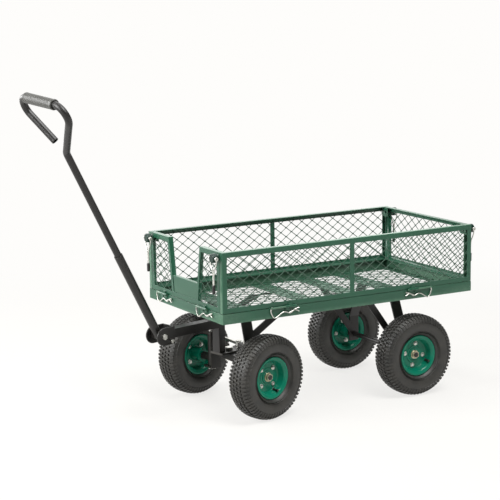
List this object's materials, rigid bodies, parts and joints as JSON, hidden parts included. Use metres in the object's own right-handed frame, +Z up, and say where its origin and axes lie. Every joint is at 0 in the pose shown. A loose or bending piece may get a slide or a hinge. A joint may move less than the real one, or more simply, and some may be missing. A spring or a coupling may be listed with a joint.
{
  "type": "garden trolley",
  "caption": "Steel mesh garden trolley with fold-down latched sides, a steered front axle, spinning wheels and a tilting pull handle.",
  "frame": {"origin": "middle of the load floor's top face", "axes": "+X to the rear, away from the handle; +Y to the right-hand side; +Z up from the floor"},
  "size_m": [1.4763, 0.5379, 1.0202],
  "materials": {
    "green_paint": "satin",
    "black_paint": "satin",
    "zinc_plate": "satin",
    "tyre_rubber": "matte",
    "grip_rubber": "matte"
  },
  "bodies": {
    "chassis": {"tray_frame": "green_paint", "floor_mesh": "green_paint", "floor_slats": "green_paint", "front_support": "black_paint", "rear_support": "black_paint", "braces": "black_paint", "rear_axle": "zinc_plate", "rear_axle_nuts": "zinc_plate", "front_axle_beam": "black_paint", "steering_pins": "zinc_plate", "chassis_bolts": "zinc_plate", "hinge_pins": "green_paint", "hinge_clips": "zinc_plate"},
    "drawbar": {"drawbar_channel": "black_paint", "steering_plate": "black_paint", "drawbar_bolts": "zinc_plate"},
    "handle": {"handle_lower_tube": "black_paint", "handle_upper_tube": "black_paint", "handle_grip": "grip_rubber", "handle_bolts": "zinc_plate"},
    "left_steering": {"left_knuckle": "black_paint", "left_axle_nut": "zinc_plate"},
    "right_steering": {"right_knuckle": "black_paint", "right_axle_nut": "zinc_plate"},
    "left_link": {"left_tie_rod": "zinc_plate"},
    "right_link": {"right_tie_rod": "zinc_plate"},
    "left_panel": {"left_panel_frame": "green_paint", "left_panel_mesh": "green_paint"},
    "right_panel": {"right_panel_frame": "green_paint", "right_panel_mesh": "green_paint"},
    "front_panel": {"front_panel_frame": "green_paint", "front_panel_mesh": "green_paint", "front_panel_plate": "green_paint"},
    "rear_panel": {"rear_panel_frame": "green_paint", "rear_panel_mesh": "green_paint"},
    "front_left_wheel": {"front_left_tyre": "tyre_rubber", "front_left_rim": "green_paint", "front_left_hub": "zinc_plate", "front_left_rim_bolts": "zinc_plate"},
    "front_left_latch": {"front_left_latch_pin": "black_paint"},
    "front_left_pull": {"front_left_latch_pull": "black_paint"},
    "front_right_wheel": {"front_right_tyre": "tyre_rubber", "front_right_rim": "green_paint", "front_right_hub": "zinc_plate", "front_right_rim_bolts": "zinc_plate"},
    "front_right_latch": {"front_right_latch_pin": "black_paint"},
    "front_right_pull": {"front_right_latch_pull": "black_paint"},
    "rear_left_wheel": {"rear_left_tyre": "tyre_rubber", "rear_left_rim": "green_paint", "rear_left_hub": "zinc_plate", "rear_left_rim_bolts": "zinc_plate"},
    "rear_left_latch": {"rear_left_latch_pin": "black_paint"},
    "rear_left_pull": {"rear_left_latch_pull": "black_paint"},
    "rear_right_wheel": {"rear_right_tyre": "tyre_rubber", "rear_right_rim": "green_paint", "rear_right_hub": "zinc_plate", "rear_right_rim_bolts": "zinc_plate"},
    "rear_right_latch": {"rear_right_latch_pin": "black_paint"},
    "rear_right_pull": {"rear_right_latch_pull": "black_paint"}
  },
  "joints": [
    {"name": "drawbar_steer", "type": "hinge", "parent": "chassis", "child": "drawbar", "pos_m": [-0.303, 0, -0.15], "axis": [0, 0, 1], "range_deg": [-39.5, 12.5]},
    {"name": "left_knuckle_steer", "type": "hinge", "parent": "chassis", "child": "left_steering", "pos_m": [-0.303, -0.112, -0.16], "axis": [0, 0, 1], "range_deg": [-39.5, 12.5]},
    {"name": "left_link_turn", "type": "hinge", "parent": "drawbar", "child": "left_link", "pos_m": [-0.24602, -0.00175, -0.14], "axis": [0, 0, 1], "range_deg": [-12.5, 39.5]},
    {"name": "front_left_wheel_spin", "type": "hinge", "parent": "left_steering", "child": "front_left_wheel", "pos_m": [-0.28339, -0.19368, -0.194], "axis": [-0.2334, 0.9724, 0], "continuous": true},
    {"name": "rear_left_wheel_spin", "type": "hinge", "parent": "chassis", "child": "rear_left_wheel", "pos_m": [0.256, -0.201, -0.194], "axis": [0, 1, 0], "continuous": true},
    {"name": "right_knuckle_steer", "type": "hinge", "parent": "chassis", "child": "right_steering", "pos_m": [-0.303, 0.112, -0.16], "axis": [0, 0, 1], "range_deg": [-39.5, 12.5]},
    {"name": "right_link_turn", "type": "hinge", "parent": "drawbar", "child": "right_link", "pos_m": [-0.25302, 0.02743, -0.14], "axis": [0, 0, 1], "range_deg": [-12.5, 39.5]},
    {"name": "front_right_wheel_spin", "type": "hinge", "parent": "right_steering", "child": "front_right_wheel", "pos_m": [-0.32261, 0.19368, -0.194], "axis": [-0.2334, 0.9724, 0], "continuous": true},
    {"name": "rear_right_wheel_spin", "type": "hinge", "parent": "chassis", "child": "rear_right_wheel", "pos_m": [0.256, 0.201, -0.194], "axis": [0, 1, 0], "continuous": true},
    {"name": "handle_tilt", "type": "hinge", "parent": "drawbar", "child": "handle", "pos_m": [-0.5811, -0.06677, -0.053], "axis": [0.2334, -0.9724, 0], "range_deg": [-54, 53]},
    {"name": "left_panel_fold", "type": "hinge", "parent": "chassis", "child": "left_panel", "pos_m": [0, -0.243, 0.0264], "axis": [1, 0, 0], "range_deg": [0, 150]},
    {"name": "right_panel_fold", "type": "hinge", "parent": "chassis", "child": "right_panel", "pos_m": [0, 0.243, 0.0264], "axis": [-1, 0, 0], "range_deg": [0, 150]},
    {"name": "front_panel_fold", "type": "hinge", "parent": "chassis", "child": "front_panel", "pos_m": [-0.46, 0, 0.0264], "axis": [0, -1, 0], "range_deg": [0, 95]},
    {"name": "rear_panel_fold", "type": "hinge", "parent": "chassis", "child": "rear_panel", "pos_m": [0.46, 0, 0.0264], "axis": [0, 1, 0], "range_deg": [0, 150]},
    {"name": "front_left_latch_slide", "type": "slide", "parent": "front_panel", "child": "front_left_latch", "axis": [1, 0, 0], "range_m": [0, 0.005]},
    {"name": "front_left_pull_swing", "type": "hinge", "parent": "front_left_latch", "child": "front_left_pull", "pos_m": [-0.47, -0.2125, 0.1928], "axis": [0, 1, 0], "range_deg": [-2, 100]},
    {"name": "front_right_latch_slide", "type": "slide", "parent": "front_panel", "child": "front_right_latch", "axis": [1, 0, 0], "range_m": [0, 0.005]},
    {"name": "front_right_pull_swing", "type": "hinge", "parent": "front_right_latch", "child": "front_right_pull", "pos_m": [-0.47, 0.2125, 0.1928], "axis": [0, 1, 0], "range_deg": [-2, 100]},
    {"name": "rear_left_latch_slide", "type": "slide", "parent": "rear_panel", "child": "rear_left_latch", "axis": [-1, 0, 0], "range_m": [0, 0.005]},
    {"name": "rear_left_pull_swing", "type": "hinge", "parent": "rear_left_latch", "child": "rear_left_pull", "pos_m": [0.47, -0.2125, 0.1928], "axis": [0, -1, 0], "range_deg": [-2, 100]},
    {"name": "rear_right_latch_slide", "type": "slide", "parent": "rear_panel", "child": "rear_right_latch", "axis": [-1, 0, 0], "range_m": [0, 0.005]},
    {"name": "rear_right_pull_swing", "type": "hinge", "parent": "rear_right_latch", "child": "rear_right_pull", "pos_m": [0.47, 0.2125, 0.1928], "axis": [0, -1, 0], "range_deg": [-2, 100]}
  ],
  "couplings": [
    {"joint": "left_knuckle_steer", "follows": "drawbar_steer", "ratio": 1},
    {"joint": "left_link_turn", "follows": "drawbar_steer", "ratio": -1},
    {"joint": "right_knuckle_steer", "follows": "drawbar_steer", "ratio": 1},
    {"joint": "right_link_turn", "follows": "drawbar_steer", "ratio": -1}
  ]
}
